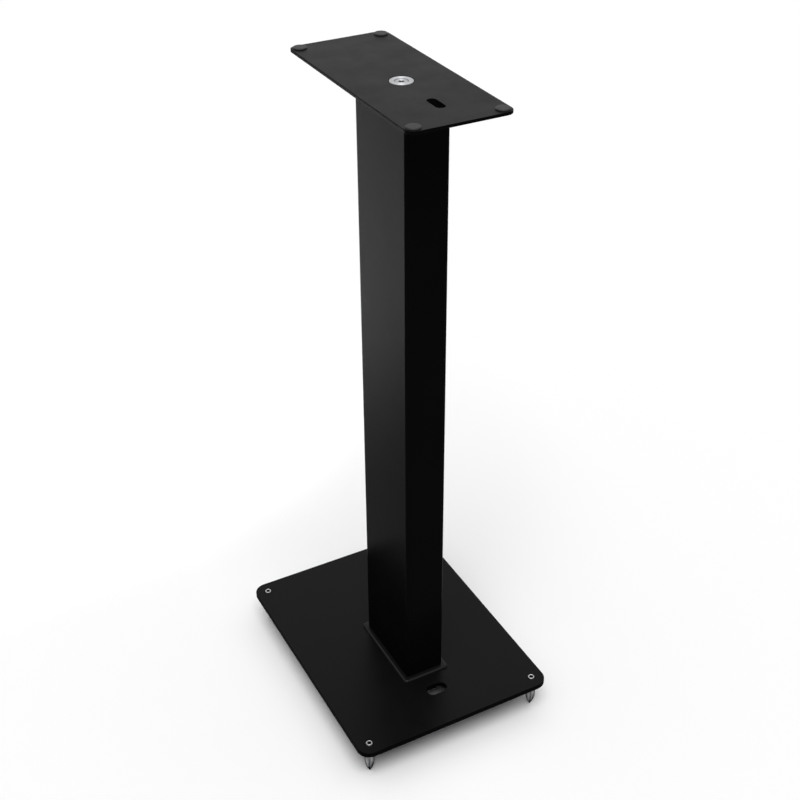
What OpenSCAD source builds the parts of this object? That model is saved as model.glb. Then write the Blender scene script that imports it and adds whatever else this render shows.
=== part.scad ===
// Speaker stand: a flat base on four adjustable spikes, a rectangular tube column
// and a flat top plate that turns on one central pivot and carries four rubber pads.
// Units are millimetres. +Z is up, +Y points to the front of the stand, and the
// cable openings are at the back. The origin is on the floor, under the base's centre.

/* [Base plate] */
// Width of the base plate, side to side
base_width = 240; // [180:1:340]
// Length of the base plate, back to front
base_length = 310; // [240:1:420]
// Thickness of the base plate
base_thickness = 6; // [5:0.5:12]
// Radius of the base plate's corners
base_corner_radius = 15; // [8:0.5:30]
// Bevel along the base plate's edges
base_edge_bevel = 0.5; // [0.2:0.1:1]
// Length of the cable hole, side to side
cable_hole_length = 24; // [18:1:36]
// Width of the cable hole, back to front
cable_hole_width = 14; // [10:1:17]
// Distance from the foot plate's back edge to the cable hole's near side
cable_hole_gap = 16; // [8:0.5:24]

/* [Column] */
// Distance from the base's centre back to the column's axis
column_setback = 25.5; // [0:0.5:35]
// Length of the column tube
column_length = 689; // [400:1:900]
// Outer width of the tube, side to side
column_width = 46; // [44:1:70]
// Outer depth of the tube, back to front
column_depth = 100; // [70:1:130]
// Wall of the tube
column_wall = 2; // [1.5:0.1:3]
// Outer radius of the tube's corners
column_corner_radius = 3; // [3:0.1:6]
// Width of the ledge that the foot plate shows round the tube
foot_plate_ledge = 5.5; // [3:0.5:9]
// Thickness of the foot plate
foot_plate_thickness = 3; // [3:0.5:5]
// Radius of the foot plate's corners
foot_plate_corner_radius = 4; // [3:0.5:8]
// Rounding along the foot plate's upper edge
foot_plate_edge_radius = 2.5; // [0.5:0.1:2.8]
// Thickness of the head plate inside the top of the tube
head_plate_thickness = 6; // [5:0.5:10]

/* [Top plate] */
// Width of the top plate, side to side
top_width = 105; // [80:1:200]
// Length of the top plate, back to front
top_length = 245; // [200:1:300]
// Thickness of the top plate
top_thickness = 3; // [2:0.5:5]
// Radius of the top plate's corners
top_corner_radius = 9; // [4:0.5:20]
// Bevel along the top plate's edges
top_edge_bevel = 0.4; // [0.2:0.1:0.8]
// Distance from the pivot forward to the top plate's centre
top_forward = 11; // [0:0.5:30]
// Length of the cable slot, back to front
top_slot_length = 24; // [16:1:30]
// Width of the cable slot
top_slot_width = 9; // [6:0.5:14]
// Distance from the column's back face to the cable slot
top_slot_gap = 1.5; // [1:0.5:6]

/* [Pads] */
// Diameter of a rubber pad
pad_diameter = 14; // [8:0.5:20]
// Thickness of a rubber pad
pad_thickness = 1.5; // [1:0.1:4]
// Rounding of a pad's upper rim
pad_rim_radius = 0.5; // [0.2:0.1:0.9]
// Distance from a pad's side to the top plate's edges
pad_margin = 2; // [1:0.5:12]

/* [Pivot] */
// Diameter of the pivot bush's flange
bush_flange_diameter = 22.4; // [20:0.1:30]
// Thickness of the bush's flange
bush_flange_thickness = 1; // [0.6:0.1:2]
// Depth of the flange's seat in the top plate
bush_seat_depth = 1.2; // [0.6:0.1:1.5]
// Gap round the flange in its seat
bush_seat_gap = 0.5; // [0.2:0.1:1]
// Bevel along the flange's edges
bush_edge_bevel = 0.3; // [0.1:0.05:0.4]
// Wall of the bush, round the screw's head and below it
bush_wall = 1.2; // [0.8:0.1:1.6]
// Thread diameter of the pivot screw
pivot_thread_diameter = 8; // [6:1:8]
// Diameter of the pivot screw's head
pivot_head_diameter = 13; // [13:0.5:15]
// Height of the pivot screw's head
pivot_head_height = 4.4; // [4:0.1:6]
// Depth of the pivot screw's head below the flange's face
pivot_head_sink = 0.7; // [0:0.1:1]
// Bevel round the pivot screw's head
pivot_head_bevel = 0.5; // [0.2:0.1:1]
// Width of the hexagon socket in the pivot screw, across flats
pivot_socket_size = 5; // [4:0.5:6]
// Depth of the hexagon socket in the pivot screw
pivot_socket_depth = 2.8; // [2:0.1:3]
// Length of the pivot screw below its head
pivot_screw_length = 16; // [14:1:25]
// Width of the pivot's weld nut, across flats
pivot_nut_size = 14; // [13:0.5:17]
// Height of the pivot's weld nut
pivot_nut_height = 6.5; // [5:0.5:8]

/* [Spikes] */
// Distance from the base plate's edges to a spike's axis
spike_inset = 15; // [12:0.5:25]
// Thread diameter of a spike's stud
stud_diameter = 8; // [6:1:8]
// How far a stud's end stands out of the base plate
stud_rise = 0.8; // [0.2:0.1:2]
// Countersink round a stud's hole in the base plate's upper face
stud_hole_countersink = 0.7; // [0.2:0.1:1.2]
// Width of the hexagon socket in a stud's end, across flats
stud_socket_size = 4; // [3:0.5:4]
// Depth of the hexagon socket in a stud's end
stud_socket_depth = 5; // [3:0.5:7]
// Diameter of a spike's body
spike_diameter = 11; // [10:0.5:16]
// Length of a spike's body, from its shoulder to its point
spike_length = 30; // [22:0.5:45]
// Length of the curved point, which is part of the body
spike_point_length = 18; // [10:0.5:20]
// Radius of the blunt end of the point
spike_tip_radius = 0.6; // [0.3:0.1:1.2]
// Width of a lock nut, across flats
lock_nut_size = 13; // [13:0.5:17]
// Height of a lock nut
lock_nut_height = 6.2; // [4:0.1:8]

/* [Base screws] */
// Thread diameter of the screws that hold the column to the base
base_screw_diameter = 6; // [5:0.5:6]
// Diameter of a base screw's countersunk head
base_screw_head_diameter = 12; // [10:0.5:12.5]
// Height of the straight rim of a base screw's head
base_screw_rim = 0.3; // [0.1:0.1:0.6]
// Overall length of a base screw
base_screw_length = 16; // [14:0.5:25]
// Width of the hexagon socket in a base screw, across flats
base_screw_socket_size = 4; // [3:0.5:4]
// Depth of the hexagon socket in a base screw
base_screw_socket_depth = 2.4; // [1.5:0.1:2.6]
// Width of a base screw's weld nut, across flats
foot_nut_size = 10; // [9:0.5:11]
// Height of a base screw's weld nut
foot_nut_height = 5; // [4:0.5:6]
// Distance from a weld nut's corner to the tube's side walls
foot_nut_side_gap = 3.2; // [1:0.1:4]
// Distance from a weld nut's corner to the tube's end walls
foot_nut_end_gap = 8.2; // [2:0.1:10]

/* [Fits] */
// Radial clearance of a running fit and of a thread
running_clearance = 0.05; // [0.03:0.01:0.08]
// Radial clearance of a hole round a screw's shank or head
screw_clearance = 0.25; // [0.15:0.05:0.4]
// Gap between faces that move on one another
slide_gap = 0.25; // [0.15:0.05:0.4]
// Gap round the head plate, which the weld fills
weld_gap = 0.2; // [0.1:0.05:0.4]

/* [Hidden] */
$fn = 64;
// How far a cut runs past the face that it opens
overrun = 1;
// A screw's tip and a stud's end are bevelled by this share of their diameter
thread_bevel_share = 0.08;
// A hexagon's corner radius over half its width across flats
hexagon_corner_share = 1 / cos(30);
// Slope of the cone that turns off a nut's corners
nut_cone_angle = 30;
// The tube's and head plate's inner corners are at least this round
least_inner_radius = 0.2;
// Steps along the curve of a spike's point
point_steps = 12;

// Heights of the faces, from the floor up
spike_shoulder_z = spike_length;
lock_nut_z = spike_shoulder_z + slide_gap;
base_bottom_z = lock_nut_z + lock_nut_height;
base_top_z = base_bottom_z + base_thickness;
foot_plate_top_z = base_top_z + foot_plate_thickness;
column_top_z = foot_plate_top_z + column_length;
head_plate_bottom_z = column_top_z - head_plate_thickness;
top_bottom_z = column_top_z + slide_gap;
top_face_z = top_bottom_z + top_thickness;
bush_flange_z = top_face_z - bush_seat_depth + slide_gap;
bush_top_z = bush_flange_z + bush_flange_thickness;
pivot_head_top_z = bush_top_z - pivot_head_sink;
pivot_head_bottom_z = pivot_head_top_z - pivot_head_height;
bush_bottom_z = pivot_head_bottom_z - bush_wall;
stud_top_z = base_top_z + stud_rise;

// The column stands at this place on the base, and the pivot is on its axis
column_y = -column_setback;
column_inner_radius = max(column_corner_radius - column_wall, least_inner_radius);
foot_plate_width = column_width + 2 * foot_plate_ledge;
foot_plate_depth = column_depth + 2 * foot_plate_ledge;
top_y = column_y + top_forward;

// Cable openings, both behind the column
top_slot_y = column_y - column_depth / 2 - top_slot_gap - top_slot_length / 2;
cable_hole_y = column_y - foot_plate_depth / 2 - cable_hole_gap - cable_hole_width / 2;

// Radii of the pivot's parts
bush_bore_radius = pivot_head_diameter / 2 + screw_clearance;
bush_barrel_radius = bush_bore_radius + bush_wall;
pivot_hole_radius = pivot_thread_diameter / 2 + screw_clearance;

// Radius of a stud's hole in the base plate
stud_hole_radius = stud_diameter / 2 + running_clearance;

// Sizes of the countersunk base screws, whose heads have 90 degree cones
base_screw_radius = base_screw_diameter / 2;
base_screw_head_radius = base_screw_head_diameter / 2;

// Places of what comes in fours
pad_inset = pad_diameter / 2 + pad_margin;
pad_x = top_width / 2 - pad_inset;
pad_y = top_length / 2 - pad_inset;
spike_x = base_width / 2 - spike_inset;
spike_y = base_length / 2 - spike_inset;
foot_nut_reach = foot_nut_size / 2 * hexagon_corner_share;
base_screw_x = column_width / 2 - column_wall - foot_nut_side_gap - foot_nut_reach;
base_screw_y = column_depth / 2 - column_wall - foot_nut_end_gap - foot_nut_reach;

// A rectangle with round corners, centred on the origin
module rounded_rectangle(width, length, radius) {
    square([width - 2 * radius, length], center = true);
    square([width, length - 2 * radius], center = true);
    for (sx = [-1, 1], sy = [-1, 1])
        translate([sx * (width / 2 - radius), sy * (length / 2 - radius)])
            circle(r = radius);
}

// A slot with half-round ends, its long way along Y
module slot_outline(width, length) {
    square([width, length - width], center = true);
    for (sy = [-1, 1])
        translate([0, sy * (length - width) / 2])
            circle(d = width);
}

// The outline of a plate's section across one direction, bevelled at its four corners
module bevelled_section(span, thickness, bevel) {
    polygon([
        [-span / 2 + bevel, 0], [span / 2 - bevel, 0],
        [span / 2, bevel], [span / 2, thickness - bevel],
        [span / 2 - bevel, thickness], [-span / 2 + bevel, thickness],
        [-span / 2, thickness - bevel], [-span / 2, bevel]
    ]);
}

// A plate with round corners and bevelled edges, its lower face at z = 0
module bevelled_plate(width, length, thickness, radius, bevel) {
    rotate([90, 0, 0])
        linear_extrude(length - 2 * radius, center = true)
            bevelled_section(width, thickness, bevel);
    rotate([90, 0, 90])
        linear_extrude(width - 2 * radius, center = true)
            bevelled_section(length, thickness, bevel);
    for (sx = [-1, 1], sy = [-1, 1])
        translate([sx * (width / 2 - radius), sy * (length / 2 - radius), 0])
            rotate_extrude()
                intersection() {
                    bevelled_section(2 * radius, thickness, bevel);
                    square([radius, thickness]);
                }
}

// Half of a plate's or pad's section, from its middle out, with a rounded upper edge
module rounded_edge_section(reach, thickness, edge_radius) {
    square([reach - edge_radius, thickness]);
    square([reach, thickness - edge_radius]);
    intersection() {
        translate([reach - edge_radius, thickness - edge_radius])
            circle(r = edge_radius);
        square([reach, thickness]);
    }
}

// A plate with round corners and a rounded upper edge, its lower face at z = 0
module rounded_edge_plate(width, length, thickness, radius, edge_radius) {
    for (side = [-1, 1]) {
        rotate([90, 0, 0])
            linear_extrude(length - 2 * radius, center = true)
                scale([side, 1])
                    rounded_edge_section(width / 2, thickness, edge_radius);
        rotate([90, 0, 90])
            linear_extrude(width - 2 * radius, center = true)
                scale([side, 1])
                    rounded_edge_section(length / 2, thickness, edge_radius);
    }
    for (sx = [-1, 1], sy = [-1, 1])
        translate([sx * (width / 2 - radius), sy * (length / 2 - radius), 0])
            rotate_extrude()
                rounded_edge_section(radius, thickness, edge_radius);
}

// A hexagonal prism measured across its flats, with one pair of flats along Y
module hexagon_prism(size, height) {
    rotate([0, 0, 30])
        cylinder(r = size / 2 * hexagon_corner_share, h = height, $fn = 6);
}

// A hexagon nut on the Z axis, its corners turned off at both faces
module nut(size, height, bore_radius) {
    corner_radius = size / 2 * hexagon_corner_share;
    turned = (corner_radius - size / 2) * tan(nut_cone_angle);
    difference() {
        intersection() {
            hexagon_prism(size, height);
            rotate_extrude()
                polygon([
                    [0, 0], [size / 2, 0], [corner_radius, turned],
                    [corner_radius, height - turned], [size / 2, height], [0, height]
                ]);
        }
        translate([0, 0, -overrun])
            cylinder(r = bore_radius, h = height + 2 * overrun);
    }
}

// Puts its children at the four corners of a rectangle centred on the origin
module at_corners(x, y) {
    for (sx = [-1, 1], sy = [-1, 1])
        translate([sx * x, sy * y, 0])
            children();
}

module base_plate() {
    cut_height = base_thickness + 2 * overrun;
    cone = stud_hole_countersink + overrun;
    color("#1b1b1c")
        translate([0, 0, base_bottom_z])
            difference() {
                bevelled_plate(base_width, base_length, base_thickness, base_corner_radius, base_edge_bevel);
                translate([0, 0, -overrun]) {
                    at_corners(spike_x, spike_y)
                        cylinder(r = stud_hole_radius, h = cut_height);
                    translate([0, cable_hole_y, 0])
                        linear_extrude(cut_height)
                            rotate(90)
                                slot_outline(cable_hole_width, cable_hole_length);
                    translate([0, column_y, 0])
                        at_corners(base_screw_x, base_screw_y)
                            cylinder(r = base_screw_radius + screw_clearance, h = cut_height);
                }
                translate([0, column_y, 0])
                    at_corners(base_screw_x, base_screw_y)
                        rotate_extrude()
                            countersink_outline();
                translate([0, 0, base_thickness - stud_hole_countersink])
                    at_corners(spike_x, spike_y)
                        cylinder(r1 = stud_hole_radius, r2 = stud_hole_radius + cone, h = cone);
            }
}

// Half of the countersink for a base screw, opened below the plate by the overrun
module countersink_outline() {
    head = base_screw_head_radius + screw_clearance;
    shank = base_screw_radius + screw_clearance;
    polygon([
        [0, -overrun], [head, -overrun], [head, base_screw_rim],
        [shank, base_screw_rim + head - shank], [0, base_screw_rim + head - shank]
    ]);
}

module base_screw() {
    tip_bevel = base_screw_diameter * thread_bevel_share;
    cone_top = base_screw_rim + base_screw_head_radius - base_screw_radius;
    difference() {
        rotate_extrude()
            polygon([
                [0, 0], [base_screw_head_radius, 0], [base_screw_head_radius, base_screw_rim],
                [base_screw_radius, cone_top], [base_screw_radius, base_screw_length - tip_bevel],
                [base_screw_radius - tip_bevel, base_screw_length], [0, base_screw_length]
            ]);
        translate([0, 0, -overrun])
            hexagon_prism(base_screw_socket_size, base_screw_socket_depth + overrun);
    }
}

module base_screws() {
    color("#2a2a2c")
        translate([0, column_y, base_bottom_z])
            at_corners(base_screw_x, base_screw_y)
                base_screw();
}

module foot_weld_nuts() {
    color("#8d9092")
        translate([0, column_y, foot_plate_top_z])
            at_corners(base_screw_x, base_screw_y)
                nut(foot_nut_size, foot_nut_height, base_screw_radius + running_clearance);
}

module column_foot_plate() {
    cut_height = foot_plate_thickness + 2 * overrun;
    color("#232325")
        translate([0, column_y, base_top_z])
            difference() {
                rounded_edge_plate(foot_plate_width, foot_plate_depth, foot_plate_thickness,
                    foot_plate_corner_radius, foot_plate_edge_radius);
                translate([0, 0, -overrun])
                    at_corners(base_screw_x, base_screw_y)
                        cylinder(r = base_screw_radius + screw_clearance, h = cut_height);
            }
}

module column_tube() {
    color("#1e1e20")
        translate([0, column_y, foot_plate_top_z])
            linear_extrude(column_length)
                difference() {
                    rounded_rectangle(column_width, column_depth, column_corner_radius);
                    rounded_rectangle(column_width - 2 * column_wall, column_depth - 2 * column_wall,
                        column_inner_radius);
                }
}

module column_head_plate() {
    color("#232325")
        translate([0, column_y, head_plate_bottom_z])
            difference() {
                linear_extrude(head_plate_thickness)
                    rounded_rectangle(column_width - 2 * column_wall - 2 * weld_gap,
                        column_depth - 2 * column_wall - 2 * weld_gap, column_inner_radius);
                translate([0, 0, -overrun])
                    cylinder(r = pivot_hole_radius, h = head_plate_thickness + 2 * overrun);
                translate([0, 0, bush_bottom_z - head_plate_bottom_z])
                    cylinder(r = bush_barrel_radius + screw_clearance, h = head_plate_thickness);
            }
}

module pivot_weld_nut() {
    color("#8d9092")
        translate([0, column_y, head_plate_bottom_z - pivot_nut_height])
            nut(pivot_nut_size, pivot_nut_height, pivot_thread_diameter / 2 + running_clearance);
}

module top_plate() {
    cut_height = top_thickness + 2 * overrun;
    color("#29292b")
        translate([0, 0, top_bottom_z])
            difference() {
                translate([0, top_y, 0])
                    bevelled_plate(top_width, top_length, top_thickness, top_corner_radius, top_edge_bevel);
                translate([0, column_y, -overrun])
                    cylinder(r = bush_barrel_radius + running_clearance, h = cut_height);
                translate([0, column_y, top_thickness - bush_seat_depth])
                    cylinder(r = bush_flange_diameter / 2 + bush_seat_gap, h = bush_seat_depth + overrun);
                translate([0, top_slot_y, -overrun])
                    linear_extrude(cut_height)
                        slot_outline(top_slot_width, top_slot_length);
            }
}

// A flanged cup: the top plate turns on its barrel, and the screw's head sits inside
module pivot_bush() {
    height = bush_top_z - bush_bottom_z;
    flange_radius = bush_flange_diameter / 2;
    color("#c9cbcd")
        translate([0, column_y, bush_bottom_z])
            rotate_extrude()
                polygon([
                    [pivot_hole_radius, 0], [bush_barrel_radius, 0],
                    [bush_barrel_radius, height - bush_flange_thickness],
                    [flange_radius, height - bush_flange_thickness],
                    [flange_radius, height - bush_edge_bevel], [flange_radius - bush_edge_bevel, height],
                    [bush_bore_radius + bush_edge_bevel, height],
                    [bush_bore_radius, height - bush_edge_bevel],
                    [bush_bore_radius, bush_wall], [pivot_hole_radius, bush_wall]
                ]);
}

module pivot_screw() {
    thread_radius = pivot_thread_diameter / 2;
    head_radius = pivot_head_diameter / 2;
    tip_bevel = pivot_thread_diameter * thread_bevel_share;
    color("#b9bbbe")
        translate([0, column_y, pivot_head_bottom_z])
            difference() {
                rotate_extrude()
                    polygon([
                        [0, -pivot_screw_length], [thread_radius - tip_bevel, -pivot_screw_length],
                        [thread_radius, tip_bevel - pivot_screw_length], [thread_radius, 0],
                        [head_radius, 0], [head_radius, pivot_head_height - pivot_head_bevel],
                        [head_radius - pivot_head_bevel, pivot_head_height], [0, pivot_head_height]
                    ]);
                translate([0, 0, pivot_head_height - pivot_socket_depth])
                    hexagon_prism(pivot_socket_size, pivot_socket_depth + overrun);
            }
}

// One pad on the top plate, sx and sy saying which corner it is at
module pad(sx, sy) {
    color("#3a3a3c")
        translate([sx * pad_x, top_y + sy * pad_y, top_face_z])
            rotate_extrude()
                rounded_edge_section(pad_diameter / 2, pad_thickness, pad_rim_radius);
}

// Radius of a spike's point at a height above its tip: an arc that meets the body smoothly
function point_arc_radius() =
    (pow(spike_diameter / 2, 2) + pow(spike_point_length, 2)) / spike_diameter;
function point_radius(height) =
    sqrt(pow(point_arc_radius(), 2) - pow(spike_point_length - height, 2))
    - point_arc_radius() + spike_diameter / 2;

// One spike: a blunt curved point, a round body and a threaded stud with a hexagon socket
module spike(sx, sy) {
    body_radius = spike_diameter / 2;
    stud_radius = stud_diameter / 2;
    end_bevel = stud_diameter * thread_bevel_share;
    heights = [for (i = [1 : point_steps]) spike_point_length * i / point_steps];
    point = [for (h = heights) if (point_radius(h) > spike_tip_radius) [point_radius(h), h]];
    color("#8f9194")
        translate([sx * spike_x, sy * spike_y, 0])
            difference() {
                rotate_extrude()
                    polygon(concat(
                        [[0, 0], [spike_tip_radius, 0]],
                        point,
                        [
                            [body_radius, spike_shoulder_z - end_bevel],
                            [body_radius - end_bevel, spike_shoulder_z],
                            [stud_radius, spike_shoulder_z], [stud_radius, stud_top_z - end_bevel],
                            [stud_radius - end_bevel, stud_top_z], [0, stud_top_z]
                        ]
                    ));
                translate([0, 0, stud_top_z - stud_socket_depth])
                    hexagon_prism(stud_socket_size, stud_socket_depth + overrun);
            }
}

module lock_nut(sx, sy) {
    color("#7c7e81")
        translate([sx * spike_x, sy * spike_y, lock_nut_z])
            nut(lock_nut_size, lock_nut_height, stud_diameter / 2 + running_clearance);
}

base_plate();
column_foot_plate();
column_tube();
column_head_plate();
pivot_weld_nut();
foot_weld_nuts();
base_screws();
top_plate();
pivot_bush();
pivot_screw();
pad(-1, 1);  // pad_front_left
pad(1, 1);  // pad_front_right
pad(-1, -1);  // pad_back_left
pad(1, -1);  // pad_back_right
spike(-1, 1);  // spike_front_left
spike(1, 1);  // spike_front_right
spike(-1, -1);  // spike_back_left
spike(1, -1);  // spike_back_right
lock_nut(-1, 1);  // lock_nut_front_left
lock_nut(1, 1);  // lock_nut_front_right
lock_nut(-1, -1);  // lock_nut_back_left
lock_nut(1, -1);  // lock_nut_back_right
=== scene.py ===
"""Speaker stand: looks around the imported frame. Metres, in the CAD's own frame.

The camera and the light come first, then the materials, the sizes and the mesh helpers, and at last
the pieces from the floor up.
"""
import bpy
import bmesh
import math
from mathutils import Euler, Matrix, Vector


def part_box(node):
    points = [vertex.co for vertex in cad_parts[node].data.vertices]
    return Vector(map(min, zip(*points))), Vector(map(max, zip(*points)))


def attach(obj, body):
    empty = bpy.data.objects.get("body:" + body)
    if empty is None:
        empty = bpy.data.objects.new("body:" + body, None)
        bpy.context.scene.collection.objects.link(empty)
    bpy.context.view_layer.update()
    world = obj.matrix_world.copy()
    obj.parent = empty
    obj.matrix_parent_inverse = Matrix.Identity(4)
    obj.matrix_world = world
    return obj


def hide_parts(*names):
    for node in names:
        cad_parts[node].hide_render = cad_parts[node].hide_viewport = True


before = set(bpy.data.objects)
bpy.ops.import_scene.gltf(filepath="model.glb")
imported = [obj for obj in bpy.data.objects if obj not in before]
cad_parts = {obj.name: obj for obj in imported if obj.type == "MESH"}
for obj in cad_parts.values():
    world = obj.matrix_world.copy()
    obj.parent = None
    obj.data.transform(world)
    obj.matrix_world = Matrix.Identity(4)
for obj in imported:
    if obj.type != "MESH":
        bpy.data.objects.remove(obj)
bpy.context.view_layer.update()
MM = 0.001
TURN = 2 * math.pi


# Camera, at the photograph's viewing angle

camera_place = (-0.53229, -1.02965, 1.14964)
# Degrees about X, Y and Z, from a camera that looks straight down with +Y at the top of its picture
camera_turn = (56.3694, 0.3323, -27.9843)

camera_data = bpy.data.cameras.new("camera")
camera_data.sensor_width = 36
camera_data.lens = 58.945
camera_data.clip_start = 0.05
camera_data.clip_end = 200
camera = bpy.data.objects.new("camera", camera_data)
axes = Euler([math.radians(angle) for angle in camera_turn]).to_matrix().to_4x4()
camera.matrix_world = Matrix.Translation(camera_place) @ axes
bpy.context.scene.collection.objects.link(camera)
bpy.context.scene.camera = camera
bpy.context.scene.view_settings.view_transform = "Standard"


# Node helpers

class Nodes:
    """Short calls for a node tree."""

    def __init__(self, tree):
        self.tree = tree
        tree.nodes.clear()

    def add(self, kind, inputs=None, **settings):
        """A node with its settings, and with a link or a value for each input that is named."""
        node = self.tree.nodes.new(kind)
        for key, value in settings.items():
            setattr(node, key, value)
        for key, value in (inputs or {}).items():
            if isinstance(value, bpy.types.NodeSocket):
                self.tree.links.new(value, node.inputs[key])
            else:
                node.inputs[key].default_value = value
        return node

    def math(self, operation, a, b):
        return self.add("ShaderNodeMath", {0: a, 1: b}, operation=operation).outputs[0]

    def times(self, a, b):
        return self.math("MULTIPLY", a, b)

    def split(self, vector):
        """The X, Y and Z of a vector."""
        return self.add("ShaderNodeSeparateXYZ", {0: vector}).outputs

    def join(self, x, y, z=0.0):
        return self.add("ShaderNodeCombineXYZ", {0: x, 1: y, 2: z}).outputs[0]

    def remap(self, value, source, target, kind="LINEAR"):
        """Carries a value between the two ends of source over to the two ends of target."""
        inputs = {"Value": value, "From Min": source[0], "From Max": source[1],
                  "To Min": target[0], "To Max": target[1]}
        return self.add("ShaderNodeMapRange", inputs, interpolation_type=kind).outputs["Result"]

    def noise(self, vector, scale, detail, roughness=0.5):
        inputs = {"Vector": vector, "Scale": scale, "Detail": detail, "Roughness": roughness}
        return self.add("ShaderNodeTexNoise", inputs).outputs["Fac"]

    def mix(self, factor, a, b):
        """Colour a where factor is 0 and b where it is 1."""
        inputs = {0: factor, 6: (*a, 1), 7: (*b, 1)}
        return self.add("ShaderNodeMix", inputs, data_type="RGBA").outputs[2]

    def tint(self, colour, factor):
        """A colour times a grey factor, which may pass 1."""
        parts = [self.times(factor, c) for c in colour]
        return self.add("ShaderNodeCombineColor", {0: parts[0], 1: parts[1], 2: parts[2]}).outputs[0]

    def bump(self, height, strength, relief):
        """A surface normal from a height, whose relief is in millimetres."""
        inputs = {"Strength": strength, "Distance": relief * MM, "Height": height}
        return self.add("ShaderNodeBump", inputs).outputs[0]

    def out(self, shader, kind="ShaderNodeOutputMaterial"):
        self.add(kind, {"Surface": shader})

    def principled(self, inputs):
        """Ends a material's tree with a principled shader."""
        self.out(self.add("ShaderNodeBsdfPrincipled", inputs).outputs[0])


def seen_rays(n):
    """1 for camera, glossy and transmission rays, and 0 for the rays that light the object."""
    path = n.add("ShaderNodeLightPath")
    both = n.math("MAXIMUM", path.outputs["Is Camera Ray"], path.outputs["Is Glossy Ray"])
    return n.math("MAXIMUM", both, path.outputs["Is Transmission Ray"])


# Light: a white room, soft light from above, and a lamp over the floor, which the column mirrors

def light_room():
    """Plain white to the eye and in mirrors. Its own light is brightest overhead and ends low down."""
    fades_out, full = 0.3, 0.9
    overhead = 1.2
    world = bpy.data.worlds.new("studio")
    world.use_nodes = True
    bpy.context.scene.world = world
    n = Nodes(world.node_tree)
    up = n.split(n.add("ShaderNodeTexCoord").outputs["Generated"])[2]
    level = n.remap(up, (fades_out, full), (0.0, overhead), "SMOOTHSTEP")
    lit = n.add("ShaderNodeBackground", {"Strength": level})
    white = n.add("ShaderNodeBackground", {"Color": (1, 1, 1, 1), "Strength": 1.0})
    shown = n.add("ShaderNodeMixShader", {0: seen_rays(n), 1: lit.outputs[0], 2: white.outputs[0]})
    n.out(shown.outputs[0], "ShaderNodeOutputWorld")


def lamp(name, kind, energy, towards, place=(0, 0, 2)):
    """A lamp that shines in a direction. Returns its data, for its size and spread."""
    data = bpy.data.lights.new(name, kind)
    data.energy = energy
    made = bpy.data.objects.new(name, data)
    made.location = place
    made.rotation_mode = "QUATERNION"
    made.rotation_quaternion = Vector(towards).to_track_quat("-Z", "Y")
    bpy.context.scene.collection.objects.link(made)
    return data


light_room()
soft_lamp = lamp("soft_lamp", "SUN", energy=1.4, towards=(0.2, 0.4, -1.0))
soft_lamp.angle = math.radians(35)
floor_lamp = lamp("backdrop_lamp", "AREA", energy=29, towards=(0, 0, -1), place=(-0.7, 1.3, 1.0))
floor_lamp.size = 1.4
floor_lamp.spread = math.radians(40)


# Floor

def lay_floor():
    """White, with the object's shadow, and clear from below. It lies just under the spikes' points."""
    reach = 30
    drop = 0.2 * MM
    lighting_white, seen_white = (0.8, 0.8, 0.8), (1, 1, 1)
    material = bpy.data.materials.new("white_floor")
    material.use_nodes = True
    n = Nodes(material.node_tree)
    paint = n.mix(seen_rays(n), lighting_white, seen_white)
    face = n.add("ShaderNodeBsdfDiffuse", {"Color": paint})
    clear = n.add("ShaderNodeBsdfTransparent")
    below = n.add("ShaderNodeNewGeometry").outputs["Backfacing"]
    n.out(n.add("ShaderNodeMixShader", {0: below, 1: face.outputs[0], 2: clear.outputs[0]}).outputs[0])

    mesh = bpy.data.meshes.new("floor")
    square = [(-reach, -reach, 0), (reach, -reach, 0), (reach, reach, 0), (-reach, reach, 0)]
    mesh.from_pydata(square, [], [(0, 1, 2, 3)])
    mesh.materials.append(material)
    floor = bpy.data.objects.new("floor", mesh)
    floor.location.z = -drop
    bpy.context.scene.collection.objects.link(floor)


lay_floor()


# Materials. Their textures lie in each object's own space, in metres.

# The ends between which nearly all values of a soft noise lie, and those of a rougher one
SOFT = (0.3, 0.7)
ROUGH = (0.25, 0.75)


def new_material(name):
    """A material, its node tree and the place on the object."""
    material = bpy.data.materials.new(name)
    material.use_nodes = True
    n = Nodes(material.node_tree)
    return material, n, n.add("ShaderNodeTexCoord").outputs["Object"]


def powder_coat(name, colour, roughness, specular, grain, mottle):
    """A sprayed and baked coat: a fine uneven skin, faint clouding and small changes of gloss."""
    material, n, place = new_material(name)
    peel = n.noise(place, scale=620, detail=2)
    fine = n.noise(place, scale=3600, detail=1)
    clouds = n.remap(n.noise(place, scale=11, detail=3), SOFT, (1 - mottle, 1 + mottle))
    specks = n.remap(fine, SOFT, (0.9, 1.12))
    gloss = n.noise(place, scale=40, detail=3)
    n.principled({
        "Base Color": n.tint(colour, n.times(clouds, specks)),
        "Roughness": n.remap(gloss, SOFT, (roughness - 0.03, roughness + 0.04)),
        "Normal": n.bump(n.math("ADD", n.times(peel, 0.7), n.times(fine, 0.3)), grain, relief=0.2),
        "Specular IOR Level": specular,
    })
    return material


def rubber(name, colour, roughness):
    """Moulded rubber: a fine dry grain and a little dust in it."""
    material, n, place = new_material(name)
    grain = n.noise(place, scale=2600, detail=3, roughness=0.6)
    dust = n.noise(place, scale=260, detail=4, roughness=0.65)
    n.principled({
        "Base Color": n.tint(colour, n.remap(dust, (0.45, 0.75), (0.94, 1.2))),
        "Roughness": n.remap(grain, SOFT, (roughness - 0.06, roughness + 0.06)),
        "Normal": n.bump(grain, 0.5, relief=0.1),
        "Specular IOR Level": 0.25,
    })
    return material


def lathe_marks(n, x, y, run):
    """The fine marks of a tool, long round the Z axis. They follow one another along run."""
    around = 90
    stretched = n.join(n.times(x, around), n.times(y, around), run)
    return n.noise(stretched, scale=1.0, detail=3, roughness=0.6)


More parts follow.
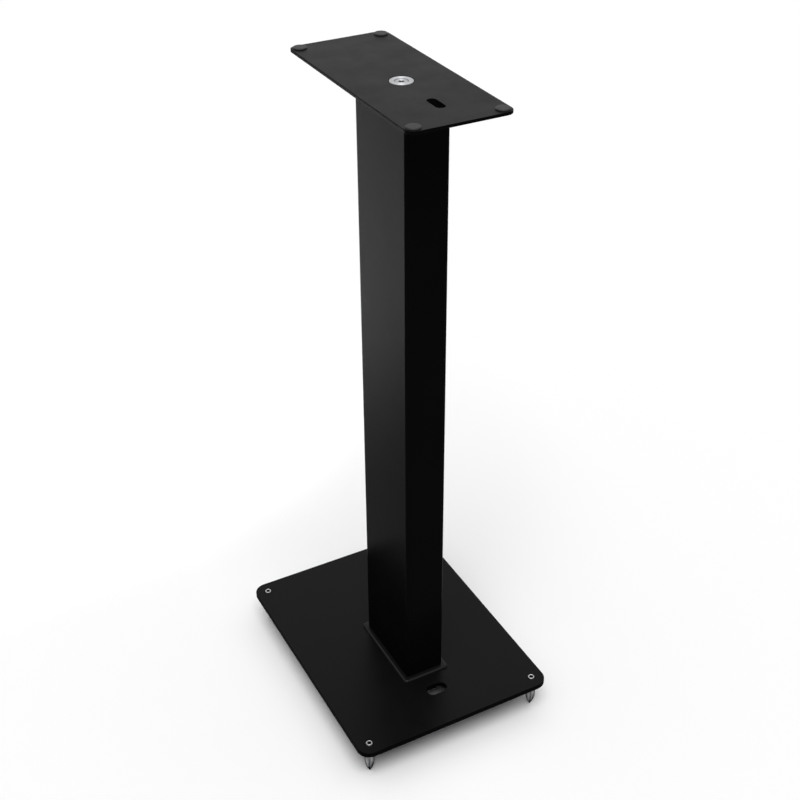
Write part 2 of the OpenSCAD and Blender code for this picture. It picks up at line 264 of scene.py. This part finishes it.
def turned_metal(name, colour, roughness, depth, spread):
    """Metal off a lathe: fine rings round its axis, out across its face."""
    rings_per_metre = 5200
    material, n, place = new_material(name)
    x, y, _ = n.split(place)
    radius = n.add("ShaderNodeVectorMath", {0: n.join(x, y)}, operation="LENGTH").outputs["Value"]
    marks = lathe_marks(n, x, y, n.times(radius, rings_per_metre))
    stain = n.noise(place, scale=300, detail=3)
    shade = n.times(n.remap(marks, ROUGH, (0.86, 1.08)), n.remap(stain, SOFT, (0.93, 1.04)))
    n.principled({
        "Base Color": n.tint(colour, shade),
        "Metallic": 1.0,
        "Roughness": n.remap(marks, ROUGH, (roughness - 0.05, roughness + 0.09)),
        "Anisotropic": spread,
        "Anisotropic Rotation": 0.25,
        "Normal": n.bump(marks, depth, relief=0.05),
    })
    return material


def ground_metal(name, colour, roughness):
    """A ground point, darkened in its bath: streaking down its length, whose light and dark bands are also
    a painted highlight and painted shade, over fine rings, and dark edges.
    """
    rings_per_metre = 4200
    # The bands of the streaking are painted highlight and painted shade as well as marks in the steel; the
    # turn sets the brightest band towards the camera.
    streak_and_highlight_change, painted_highlight_turn = 30, 2.0
    material, n, place = new_material(name)
    x, y, z = n.split(place)
    outwards = n.add("ShaderNodeVectorMath", {0: n.join(x, y)}, operation="NORMALIZE").outputs["Vector"]
    side = n.split(outwards)
    height = n.math("ADD", n.times(z, streak_and_highlight_change), painted_highlight_turn)
    streaks_and_painted_highlight = n.noise(n.join(side[0], side[1], height), scale=1.6, detail=4, roughness=0.7)
    rings = lathe_marks(n, x, y, n.times(z, rings_per_metre))
    shade = n.times(n.remap(streaks_and_painted_highlight, (0.36, 0.64), (0.2, 1.9)), n.remap(rings, ROUGH, (0.85, 1.1)))
    n.principled({
        "Base Color": n.tint(colour, shade),
        "Metallic": 1.0,
        "Roughness": n.remap(rings, ROUGH, (roughness - 0.05, roughness + 0.09)),
        "Specular Tint": (0, 0, 0, 1),
        "Normal": n.bump(rings, 0.4, relief=0.05),
    })
    return material


def plated(name, colour, roughness, metallic=1.0):
    """Dull plating: soft cloudy spangle, darker stains and a fine grain."""
    material, n, place = new_material(name)
    spangle = n.add("ShaderNodeTexVoronoi", {"Vector": place, "Scale": 900}).outputs["Distance"]
    stain = n.noise(place, scale=220, detail=4, roughness=0.6)
    shade = n.times(n.remap(spangle, (0.0, 0.8), (0.9, 1.08)), n.remap(stain, (0.35, 0.75), (1.05, 0.8)))
    n.principled({
        "Base Color": n.tint(colour, shade),
        "Metallic": metallic,
        "Roughness": n.remap(stain, SOFT, (roughness - 0.06, roughness + 0.1)),
        "Normal": n.bump(spangle, 0.25, relief=0.05),
    })
    return material


base_coat = powder_coat("base_coat", (0.0035, 0.0035, 0.0037),
                        roughness=0.34, specular=0.08, grain=0.18, mottle=0.08)
# A darker, duller copy of the base coat for the plate's edges and the walls of its holes: painted shade.
edge_coat_painted_shade = powder_coat("edge_coat_painted_shade", (0.002, 0.002, 0.0021),
                        roughness=0.45, specular=0.005, grain=0.18, mottle=0.08)
column_coat = powder_coat("column_coat", (0.003, 0.003, 0.0032),
                          roughness=0.22, specular=0.005, grain=0.15, mottle=0.08)
foot_coat = powder_coat("foot_coat", (0.0065, 0.0065, 0.0068),
                        roughness=0.26, specular=0.14, grain=0.2, mottle=0.08)
top_coat = powder_coat("top_coat", (0.004, 0.004, 0.0042),
                       roughness=0.4, specular=0.065, grain=0.2, mottle=0.05)
pad_rubber = rubber("pad_rubber", (0.018, 0.018, 0.0185), roughness=0.5)
bright_nickel = turned_metal("bright_nickel", (0.59, 0.6, 0.615), roughness=0.55, depth=0.5, spread=0.8)
# The spikes' steel, whose streaking also paints a highlight band and shade down each point.
turned_steel = ground_metal("turned_steel", (0.23, 0.232, 0.236), roughness=0.12)
# A light turned steel for the spikes' stud ends, far lighter than the spikes' own steel: a painted
# highlight on the same piece.
stud_face_painted_highlight = turned_metal("stud_face_painted_highlight", (0.65, 0.655, 0.665), roughness=0.5, depth=0.35, spread=0.9)
# Dark steel for the spikes' threads and the insides of sockets, far darker than the spikes' own steel:
# painted shade in the hollows.
painted_shade_steel = plated("painted_shade_steel", (0.045, 0.045, 0.048), roughness=0.5)
# A darker nickel for the pivot screw's socket: painted shade in its hollow.
painted_shade_nickel = plated("painted_shade_nickel", (0.35, 0.355, 0.365), roughness=0.4)
zinc_steel = plated("zinc_steel", (0.45, 0.46, 0.475), roughness=0.38)
black_screws = plated("black_screws", (0.03, 0.03, 0.032), roughness=0.42, metallic=0.6)


# Sizes. From here on they are in millimetres, until a vertex or an object gets its place.

def box(node):
    """Lowest and highest corner of a CAD node."""
    return [[v / MM for v in end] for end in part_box(node)]


def middle(node):
    """The middle of a CAD node, seen from above."""
    (x0, y0, _), (x1, y1, _) = box(node)
    return (x0 + x1) / 2, (y0 + y1) / 2


def span(node):
    """Width and length of a CAD node."""
    (x0, y0, _), (x1, y1, _) = box(node)
    return x1 - x0, y1 - y0


def heights(node):
    """Height of a CAD node's bottom and top from the floor."""
    low, high = box(node)
    return low[2], high[2]


corners = ("front_left", "front_right", "back_left", "back_right")
column_x, column_y = middle("column_tube")
column_axis = (column_x, column_y, 0)

# Clearances of a thread or running fit, of parts that move on one another, and round a screw
running_clearance = 0.05
slide_gap = 0.25
screw_clearance = 0.25

# M8 thread of the studs and the pivot screw, with a plain stretch at each end
thread_radius = 4.0
thread_pitch = 1.25
thread_depth = 0.6
thread_end = 0.3

# Pivot bush
pivot_head_radius = 6.5
bush_wall = 1.2
bush_bore = pivot_head_radius + screw_clearance
bush_barrel = bush_bore + bush_wall

# M6 countersunk base screws, each in the middle of its weld nut
base_screw_radius = 3.0
base_screw_head_radius = 6.0
base_screw_length = 16
base_screw_rim = 0.3
base_screw_flare = base_screw_head_radius - base_screw_radius
base_screw_hole = 2 * (base_screw_radius + screw_clearance)
weld_nut_to_flat = 5.0
weld_nut_to_corner = weld_nut_to_flat / math.cos(math.radians(30))
nuts_low, nuts_high = box("foot_weld_nuts")
base_screw_places = [(x, y) for x in (nuts_low[0] + weld_nut_to_flat, nuts_high[0] - weld_nut_to_flat)
                     for y in (nuts_low[1] + weld_nut_to_corner, nuts_high[1] - weld_nut_to_corner)]


# Mesh helpers

# Taken off the radius at the ends of a hole, so that no two points of its outline coincide
HAIR = 0.0001


def bridge(bm, first, second, slot=0):
    """Smooth faces between two rings, either of which may be a single point."""
    count = max(len(first), len(second))
    for i in range(count):
        j = (i + 1) % count
        around = [first[i % len(first)], first[j % len(first)],
                  second[j % len(second)], second[i % len(second)]]
        made = bm.faces.new(list(dict.fromkeys(around)))
        made.material_index = slot
        made.smooth = True


def loft(bm, rings, slot=0):
    """Faces from each ring to the next. Returns the last ring."""
    for first, second in zip(rings, rings[1:]):
        bridge(bm, first, second, slot)
    return rings[-1]


def ring(bm, radius, z, count=48):
    """A ring of vertices round the Z axis, or one on it. Radius and z may be functions of the angle."""
    if radius == 0:
        return [bm.verts.new((0, 0, z * MM))]
    made = []
    for i in range(count):
        angle = TURN * i / count
        r = radius(angle) if callable(radius) else radius
        height = z(angle) if callable(z) else z
        made.append(bm.verts.new((r * math.cos(angle) * MM, r * math.sin(angle) * MM, height * MM)))
    return made


def rings_of(bm, profile, count=48):
    """One ring for each (radius, height) of a profile."""
    return [ring(bm, radius, z, count) for radius, z in profile]


def hexagon(size):
    """Distance to a hexagon's outline, by angle. One pair of its flats lies along Y."""
    def reach(angle):
        off = (angle + math.pi / 6) % (math.pi / 3) - math.pi / 6
        return size / 2 / math.cos(off)
    return reach


def rounded(width, length, radius, x=0.0, y=0.0, steps=10):
    """The outline of a rectangle with round corners: (x, y) and the outward normal of each point."""
    points = []
    for quarter, (sx, sy) in enumerate(((1, 1), (-1, 1), (-1, -1), (1, -1))):
        for i in range(steps + 1):
            angle = math.pi / 2 * (quarter + i / steps)
            nx, ny = math.cos(angle), math.sin(angle)
            points.append((x + sx * (width / 2 - radius) + radius * nx,
                           y + sy * (length / 2 - radius) + radius * ny, nx, ny))
    return points


def opening(outline):
    """The same outline as a hole, whose outward normals point into it."""
    return [(x, y, -nx, -ny) for x, y, nx, ny in outline]


def hole(width, length, x, y, steps=9):
    """A round hole, or an oblong one where the width and the length differ."""
    return opening(rounded(width, length, min(width, length) / 2 - HAIR, x, y, steps))


def edges(bottom, top, low, high, steps=4):
    """The edge of a plate from its bottom to its top, as (inset, z), rounded by low and high."""
    angles = [math.pi / 2 * i / steps for i in range(steps + 1)]
    points = [(low * (1 - math.sin(a)), bottom + low * (1 - math.cos(a))) for a in angles]
    points += [(high * (1 - math.cos(a)), top - high * (1 - math.sin(a))) for a in angles]
    return list(dict.fromkeys(points))


def eased_bevel(radius, top, width, height, side, ease, fall=0.0):
    """A bevel round an upper edge, as (radius, height), with its own two edges eased."""
    lower_ease, upper_ease = 0.15, 0.08
    return [(radius, top - height - lower_ease), (radius - side, top - height),
            (radius - width, top - upper_ease), (radius - width - ease, top - fall)]


def plate(bm, loops, rim=0):
    """A plate from its outlines, the outer one and the holes, each with the profile of its edge."""
    bottom_rings, top_rings = [], []
    for outline, profile in loops:
        rings = []
        for inset, z in profile:
            inner = [(x - nx * inset, y - ny * inset) for x, y, nx, ny in outline]
            rings.append([bm.verts.new((x * MM, y * MM, z * MM)) for x, y in inner])
        loft(bm, rings, rim)
        bottom_rings.append(rings[0])
        top_rings.append(rings[-1])
    for group in (bottom_rings, top_rings):
        rims = [bm.edges.get((r[i], r[(i + 1) % len(r)])) for r in group for i in range(len(r))]
        for made in bmesh.ops.triangle_fill(bm, edges=rims, use_beauty=True)["geom"]:
            if isinstance(made, bmesh.types.BMFace):
                made.smooth = True


def piece(name, bm, materials, body, replaced, at=(0, 0, 0)):
    """Makes the mesh an object at its place, rides it on its body and lets it replace its CAD nodes."""
    sharpest_smooth_edge = math.radians(38)
    bmesh.ops.recalc_face_normals(bm, faces=bm.faces[:])
    mesh = bpy.data.meshes.new(name)
    bm.to_mesh(mesh)
    bm.free()
    mesh.set_sharp_from_angle(angle=sharpest_smooth_edge)
    for material in materials:
        mesh.materials.append(material)
    made = bpy.data.objects.new(name, mesh)
    bpy.context.scene.collection.objects.link(made)
    made.location = Vector(at) * MM
    made.modifiers.new("normals", "WEIGHTED_NORMAL").keep_sharp = True
    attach(made, body)
    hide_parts(*replaced)
    return made


def lead_in(outline, mouth, face, inwards):
    """Heights, by angle, at which the cone from a socket's round mouth meets its flat walls."""
    rim, slope = 0.15, 0.6
    return lambda angle: face + inwards * (rim + slope * (mouth - outline(angle)))


def socket(bm, start, size, top, depth, slot=1, face=0):
    """A hexagon socket inside the ring start: a turned lead-in, flat walls and a drilled floor."""
    count = len(start)
    outline = hexagon(size)
    mouth = size / 2 * 1.17
    drilled = size / 2 * 0.9
    cone = size * 0.2
    floor = top - depth
    lead = ring(bm, mouth, top, count)
    bridge(bm, start, lead, face)
    walls = [(outline, lead_in(outline, mouth, top, -1)), (outline, floor),
             (drilled, floor), (0, floor - cone)]
    loft(bm, [lead] + rings_of(bm, walls, count), slot)


def thread(bm, low, high, count):
    """Rings of an M8 thread from the height low up to high, running out at both ends."""
    rings_per_turn = 10
    run_out = 0.8 * thread_pitch
    flank, root = 1.45, 0.22
    total = round((high - low) / thread_pitch * rings_per_turn)
    rings = []
    for k in range(total + 1):
        z = low + (high - low) * k / total
        fade = max(0.0, min(1.0, (z - low) / run_out, (high - z) / run_out))

        def radius(angle, z=z, fade=fade):
            phase = ((z - low) / thread_pitch - angle / TURN) % 1.0
            wave = min(1.0, max(0.0, abs(2 * phase - 1) * flank - root))
            return thread_radius - thread_depth * (1 - wave) * fade
        rings.append(ring(bm, radius, z, count))
    return rings


# Spikes with their studs, and the lock nuts

def spike_point(body):
    """Profile of a spike's point: a small blunt end, and an arc that runs into the side of its body."""
    length, tip = 18.0, 0.6
    steps = 24
    arc = (body ** 2 + length ** 2) / (2 * body)
    profile = [(0, 0), (tip * 0.6, 0.02), (tip * 0.92, 0.12)]
    for i in range(1, steps + 1):
        height = length * i / steps
        radius = math.sqrt(arc ** 2 - (length - height) ** 2) - arc + body
        if radius > tip:
            profile.append((radius, height))
    return profile


def spike(where):
    """A spike: its point, its bevelled shoulder, and the stud with a socket in its end."""
    sides = 36
    bevel = 0.64
    rim_width, rim_drop = bevel * 0.9, 0.06
    neck = thread_radius - 0.62
    node = "spike_" + where
    body = span(node)[0] / 2
    _, top = heights(node)
    shoulder = heights("lock_nut_" + where)[0] - slide_gap
    bm = bmesh.new()
    profile = spike_point(body)
    profile += eased_bevel(body, shoulder, bevel, bevel, side=0.06, ease=0.1)
    profile.append((neck, shoulder))
    last = loft(bm, rings_of(bm, profile, sides))
    rings = thread(bm, shoulder + thread_end, top - thread_end, sides)
    bridge(bm, last, rings[0])
    loft(bm, rings, 1)
    rim = ring(bm, thread_radius - rim_width, top - rim_drop, sides)
    flat = ring(bm, thread_radius - bevel, top, sides)
    bridge(bm, rings[-1], rim, 1)
    bridge(bm, rim, flat, 2)
    socket(bm, flat, size=4.0, top=top, depth=5.0, slot=1, face=2)
    # Slot 1, the thread, the stud's rim and the socket walls, takes the dark steel: painted shade. Slot 2,
    # the stud's end, takes the light steel: a painted highlight.
    piece("spike_turned_" + where, bm, [turned_steel, painted_shade_steel, stud_face_painted_highlight],
          "foot_" + where, (node,), (*middle(node), 0))


def lock_nut(where):
    """A hexagon nut, its corners turned off by cones at both faces and its bore countersunk."""
    node = "lock_nut_" + where
    size, _ = span(node)
    low, high = heights(node)
    bore = thread_radius + running_clearance
    countersink = bore * 0.09
    face = size / 2 * 0.97
    slope = math.tan(math.radians(30))
    outline = hexagon(size)
    bm = bmesh.new()
    rings = rings_of(bm, [
        (bore, low + countersink), (bore + countersink, low), (face, low),
        (outline, lambda angle: low + (outline(angle) - face) * slope),
        (outline, lambda angle: high - (outline(angle) - face) * slope),
        (face, high), (bore + countersink, high), (bore, high - countersink)])
    loft(bm, rings + rings[:1])
    piece("nut_" + where, bm, [zinc_steel], "stand", (node,), (*middle(node), 0))


# Base plate and its screws

def base_plate():
    """The base plate, with its stud holes, its cable hole and its countersunk screw holes."""
    corner_radius, bevel = 15, 0.5
    stud_hole = 2 * (thread_radius + running_clearance)
    stud_lead_in, stud_countersink = 0.35, 0.7
    cable_length, cable_width, cable_gap, cable_edge = 24, 14, 16, 0.4
    bottom, top = heights("base_plate")
    cable_y = box("column_foot_plate")[0][1] - cable_gap - cable_width / 2

    loops = [(rounded(*span("base_plate"), corner_radius, steps=14), edges(bottom, top, bevel, bevel))]
    for where in corners:
        loops.append((hole(stud_hole, stud_hole, *middle("spike_" + where)),
                      [(stud_lead_in, bottom), (0, bottom + stud_lead_in),
                       (0, top - stud_countersink), (stud_countersink, top)]))
    loops.append((hole(cable_length, cable_width, 0, cable_y),
                  edges(bottom, top, cable_edge, cable_edge)))
    for x, y in base_screw_places:
        loops.append((hole(base_screw_hole, base_screw_hole, x, y),
                      [(base_screw_flare, bottom), (base_screw_flare, bottom + base_screw_rim),
                       (0, bottom + base_screw_rim + base_screw_flare), (0, top)]))
    bm = bmesh.new()
    # Slot 1, the edges and the hole walls, takes the darker copy of the coat: painted shade.
    plate(bm, loops, 1)
    piece("base_steel", bm, [base_coat, edge_coat_painted_shade], "stand", ("base_plate",))


def countersunk(bm, low, x, y):
    """Adds one screw at its place, head down: its socket opens downwards."""
    sides = 36
    socket_size, socket_mouth = 4.0, 2.4
    socket_depth, drilled_depth = 2.4, 2.8
    rim_width, rim_height = 0.15, 0.12
    tip_bevel = 0.5
    tip = low + base_screw_length
    outline = hexagon(socket_size)
    earlier = len(bm.verts)
    edge = loft(bm, rings_of(bm, [
        (0, low + drilled_depth), (outline, low + socket_depth),
        (outline, lead_in(outline, socket_mouth, low, 1)), (socket_mouth, low)], sides), 1)
    loft(bm, [edge] + rings_of(bm, [
        (base_screw_head_radius - rim_width, low), (base_screw_head_radius, low + rim_height),
        (base_screw_head_radius, low + base_screw_rim),
        (base_screw_radius, low + base_screw_rim + base_screw_flare),
        (base_screw_radius, tip - tip_bevel), (base_screw_radius - tip_bevel, tip), (0, tip)], sides))
    bm.verts.ensure_lookup_table()
    bmesh.ops.translate(bm, verts=bm.verts[earlier:], vec=(x * MM, y * MM, 0))


def base_screws():
    """The screws that hold the column to the base, from below."""
    bm = bmesh.new()
    for x, y in base_screw_places:
        countersunk(bm, heights("base_plate")[0], x, y)
    piece("base_screws_countersunk", bm, [black_screws, painted_shade_steel],
          "stand", ("base_screws",))


# Foot plate and column

def foot_plate():
    """The foot plate, well rounded along its upper edge, with plain holes for the screws."""
    corner_radius, rounding = 4, 2.5
    bottom, top = heights("column_foot_plate")
    outline = rounded(*span("column_foot_plate"), corner_radius, column_x, column_y)
    loops = [(outline, edges(bottom, top, 0.0, rounding, steps=10))]
    for x, y in base_screw_places:
        loops.append((hole(base_screw_hole, base_screw_hole, x, y), [(0, bottom), (0, top)]))
    bm = bmesh.new()
    plate(bm, loops)
    piece("foot_collar", bm, [foot_coat], "stand", ("column_foot_plate",))


def column():
    """The drawn tube, open at both ends."""
    wall, corner_radius, eased = 2, 3, 0.2
    width, depth = span("column_tube")
    bottom, top = heights("column_tube")
    outside = rounded(width, depth, corner_radius, column_x, column_y)
    inside = rounded(width - 2 * wall, depth - 2 * wall, corner_radius - wall, column_x, column_y, steps=6)
    bm = bmesh.new()
    plate(bm, [(outside, edges(bottom, top, eased, eased, steps=2)),
               (opening(inside), [(0, bottom), (0, top)])])
    piece("column_drawn", bm, [column_coat], "stand", ("column_tube",))


# Top plate

def top_plate():
    """The top plate, with its bore on the bush's barrel, the seat of the flange and the cable slot."""
    corner_radius, bevel = 9, 0.4
    bore = 2 * (bush_barrel + running_clearance)
    bore_bevel, seat_bevel = 0.1, 0.15
    seat_depth, seat_gap = 1.2, 0.5
    seat_width = span("pivot_bush")[0] / 2 + seat_gap - bore / 2
    slot_width, slot_length, slot_gap = 9, 24, 1.5
    slot_lower_edge, slot_upper_edge = 0.15, 0.35
    slot_y = box("column_tube")[0][1] - slot_gap - slot_length / 2
    bottom, top = heights("top_plate")
    outline = rounded(*span("top_plate"), corner_radius, *middle("top_plate"), steps=12)
    seat = [(bore_bevel, bottom), (0, bottom + bore_bevel), (0, top - seat_depth),
            (seat_width, top - seat_depth), (seat_width, top - seat_bevel), (seat_width + seat_bevel, top)]
    bm = bmesh.new()
    plate(bm, [(outline, edges(bottom, top, bevel, bevel)),
               (hole(bore, bore, column_x, column_y, steps=12), seat),
               (hole(slot_width, slot_length, 0, slot_y, steps=10),
                edges(bottom, top, slot_lower_edge, slot_upper_edge))], 1)
    # The plate's edges, its bore and its slot take the column's darker, duller coat: painted shade on a
    # plate that has one coat.
    piece("top_steel", bm, [top_coat, column_coat], "top", ("top_plate",))


# Pads

def pad(where):
    """A low round rubber pad, bevelled round its top, which rises a little to its middle."""
    foot_bevel = 0.1
    bevel_width, bevel_height = 0.65, 0.6
    node = "pad_" + where
    low, high = heights(node)
    radius = span(node)[0] / 2
    top = high - low
    bm = bmesh.new()
    profile = [(0, 0), (radius - foot_bevel, 0), (radius, foot_bevel)]
    profile += eased_bevel(radius, top, bevel_width, bevel_height, side=0.08, ease=0.2, fall=0.02)
    profile += [(radius * 0.4, top - 0.01), (0, top)]
    loft(bm, rings_of(bm, profile))
    made = piece("rubber_" + where, bm, [pad_rubber], "top", (node,), (*middle(node), low))


# Pivot: the flanged bush and the screw in it

def pivot_bush():
    """The bush: a barrel for the top plate, a flange over it, and a bore with a floor for the screw."""
    flange_thickness, flange_bevel = 1, 0.1
    rounding = 0.3
    eased = rounding * 0.3
    flange = span("pivot_bush")[0] / 2
    shank_hole = thread_radius + screw_clearance
    low, high = heights("pivot_bush")
    floor = low + bush_wall
    under = high - flange_thickness
    bm = bmesh.new()
    rings = rings_of(bm, [
        (shank_hole, low), (bush_barrel, low), (bush_barrel, under),
        (flange - flange_bevel, under), (flange, under + flange_bevel),
        (flange, high - rounding), (flange - eased, high - eased), (flange - rounding, high),
        (bush_bore + rounding, high), (bush_bore + eased, high - eased), (bush_bore, high - rounding),
        (bush_bore, floor), (shank_hole, floor)], count=64)
    loft(bm, rings + rings[:1])
    piece("bush_turned", bm, [bright_nickel], "stand", ("pivot_bush",), column_axis)


def pivot_screw():
    """The socket screw that holds the bush down: a bevelled tip, its thread and a cylindrical head."""
    head_height, head_edge = 4.4, 0.1
    tip_radius, tip_bevel = 3.2, 0.2
    bevel_width, bevel_height = 0.8, 0.6
    bulge_in, bulge_down = 0.2, 0.35
    head = span("pivot_screw")[0] / 2
    low, top = heights("pivot_screw")
    under = top - head_height
    bm = bmesh.new()
    rings = rings_of(bm, [(0, low), (tip_radius, low), (tip_radius + tip_bevel, low + tip_bevel)])
    rings += thread(bm, low + thread_end, under - thread_end, count=48)
    rings += rings_of(bm, [
        (thread_radius, under), (head - head_edge, under), (head, under + head_edge),
        (head, top - bevel_height), (head - bulge_in, top - bulge_down), (head - bevel_width, top)])
    socket(bm, loft(bm, rings), size=5.0, top=top, depth=2.8)
    piece("screw_socket_head", bm, [bright_nickel, painted_shade_nickel],
          "stand", ("pivot_screw",), column_axis)


# All the pieces, in order

for where in corners:
    spike(where)
    lock_nut(where)
base_plate()
base_screws()
foot_plate()
column()
top_plate()
for where in corners:
    pad(where)
pivot_bush()
pivot_screw()


# CAD nodes that stay, all inside the column

for node, material in (("column_head_plate", column_coat), ("pivot_weld_nut", zinc_steel),
                       ("foot_weld_nuts", zinc_steel)):
    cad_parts[node].material_slots[0].material = material
